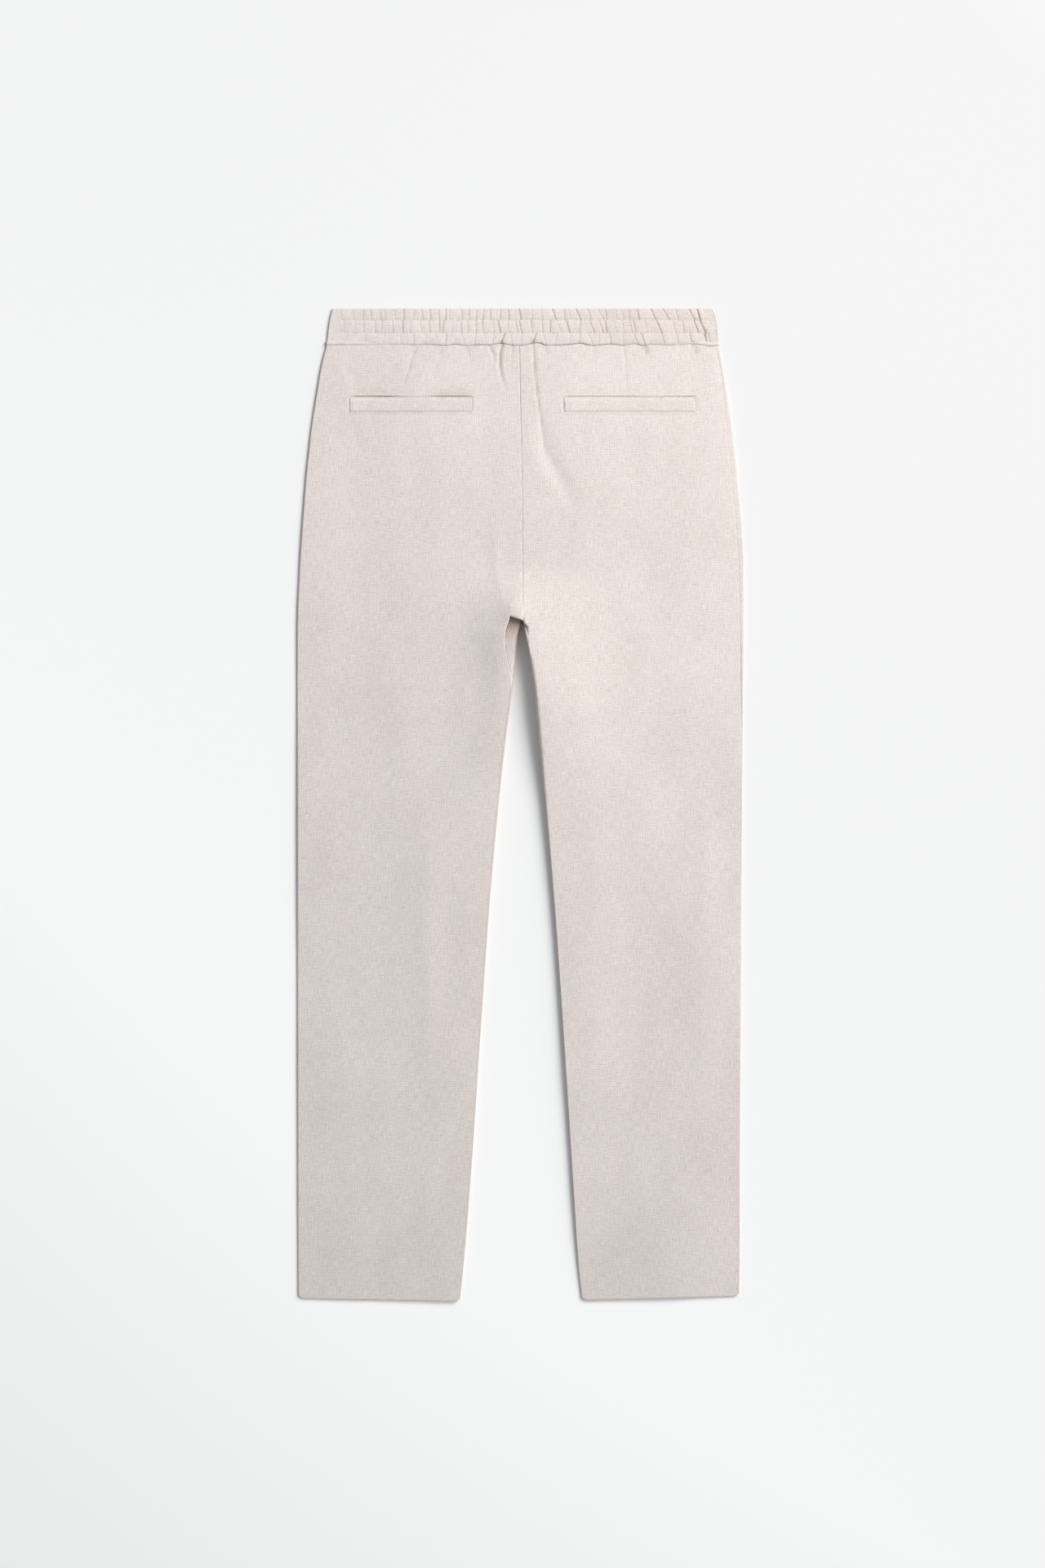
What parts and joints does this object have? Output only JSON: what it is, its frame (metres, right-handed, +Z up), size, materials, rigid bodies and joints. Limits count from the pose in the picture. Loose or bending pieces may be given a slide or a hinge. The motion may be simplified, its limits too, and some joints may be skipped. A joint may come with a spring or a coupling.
{
  "type": "linen drawstring trousers",
  "caption": "Straight-leg linen trousers laid flat, back uppermost, with a gathered elastic waistband and welt back pockets.",
  "frame": {"origin": "on the floor under the middle of the garment as it lies", "axes": "+Z up, away from the floor; +Y from the hems towards the waist; the wearer's left is at -X, because the back is uppermost"},
  "size_m": [0.4728, 1.0497, 0.008],
  "materials": {
    "linen": "plain-woven ecru linen with fine slubs, dry and matt",
    "waistband_linen": "the same linen, gathered over elastic and stitched in channels"
  },
  "bodies": {
    "root": {"back_panel_left": "linen", "back_panel_right": "linen", "front_panel_left": "linen", "front_panel_right": "linen", "back_welt_left": "linen", "back_welt_right": "linen", "waistband_back": "waistband_linen", "waistband_front": "waistband_linen"}
  },
  "joints": []
}
